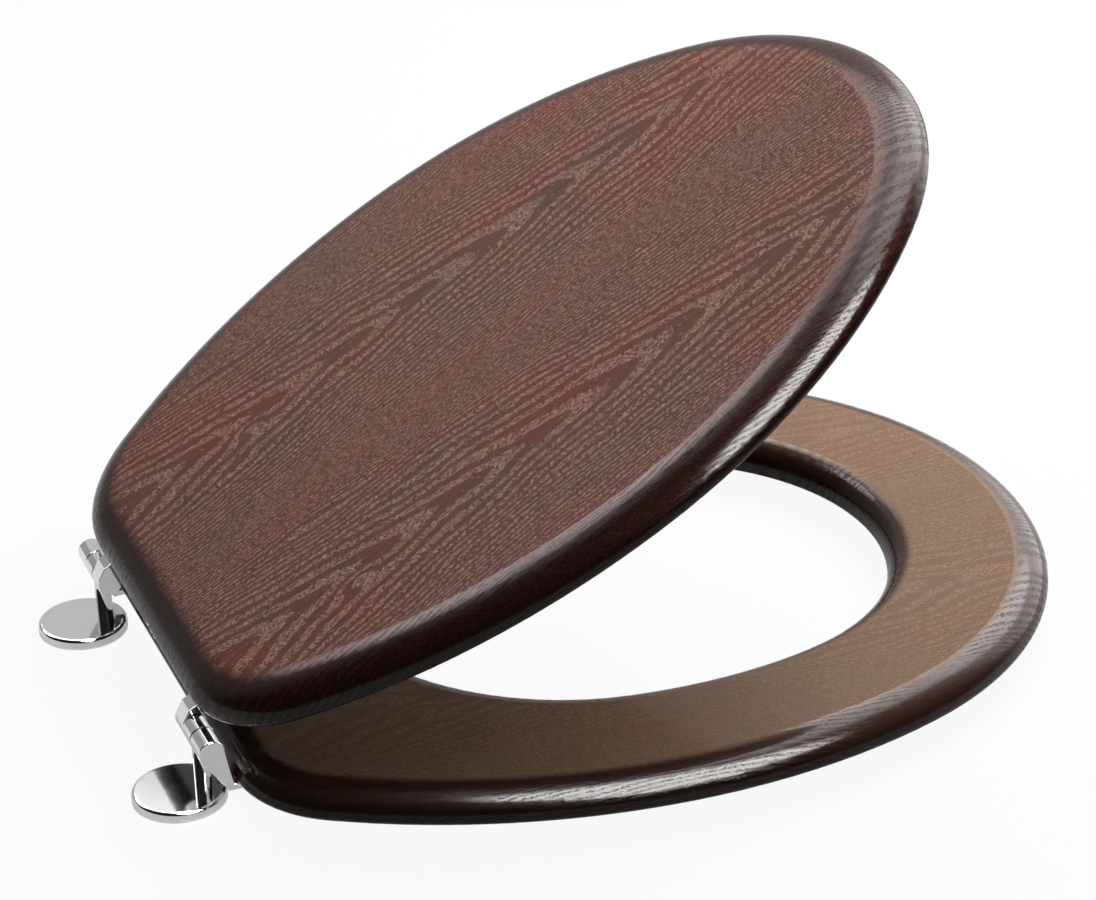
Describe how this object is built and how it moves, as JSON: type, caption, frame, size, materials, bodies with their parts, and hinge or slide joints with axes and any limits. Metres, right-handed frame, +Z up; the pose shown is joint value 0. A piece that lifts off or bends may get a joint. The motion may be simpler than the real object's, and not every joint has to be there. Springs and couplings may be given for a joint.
{
  "type": "toilet seat",
  "caption": "Toilet seat with a dark wood-veneer lid and open seat ring on chromed post hinges with round base discs; seat and lid swing up on one hinge axis.",
  "frame": {"origin": "midway between the two fixing holes, on the pan surface that the base discs stand on", "axes": "+Z up, -Y to the front of the seat, X along the hinge axis; the lid stands open at rest"},
  "size_m": [0.3726, 0.4521, 0.2445],
  "materials": {
    "veneer": "dark open-grained veneer under gloss lacquer",
    "chrome": "polished chrome plate",
    "steel": "zinc-plated steel",
    "nylon": "black nylon",
    "rubber": "black rubber"
  },
  "bodies": {
    "hinge_mounts": {"base_disc_left": "chrome", "base_disc_right": "chrome", "base_gasket_left": "rubber", "base_gasket_right": "rubber", "hinge_post_left": "chrome", "hinge_post_right": "chrome", "hinge_pin_left": "steel", "hinge_pin_right": "steel"},
    "seat": {"seat_ring": "veneer", "seat_bracket_left": "chrome", "seat_bracket_right": "chrome", "seat_bush_left": "nylon", "seat_bush_right": "nylon", "seat_bracket_screws_left": "steel", "seat_bracket_screws_right": "steel", "seat_buffer_front_left": "rubber", "seat_buffer_front_right": "rubber", "seat_buffer_rear_left": "rubber", "seat_buffer_rear_right": "rubber", "seat_buffer_screws": "steel"},
    "lid": {"lid": "veneer", "lid_bracket_left": "chrome", "lid_bracket_right": "chrome", "lid_bush_left": "nylon", "lid_bush_right": "nylon", "lid_bracket_screws_left": "steel", "lid_bracket_screws_right": "steel", "lid_buffer_left": "rubber", "lid_buffer_right": "rubber", "lid_buffer_front": "rubber", "lid_buffer_screws": "steel"}
  },
  "joints": [
    {"name": "seat_hinge", "type": "hinge", "parent": "hinge_mounts", "child": "seat", "pos_m": [0, -0.0107, 0.0296], "axis": [-1, 0, 0], "range_deg": [0, 94]},
    {"name": "lid_hinge", "type": "hinge", "parent": "seat", "child": "lid", "pos_m": [0, -0.0107, 0.0296], "axis": [-1, 0, 0], "range_deg": [-28.9, 57.1]}
  ]
}
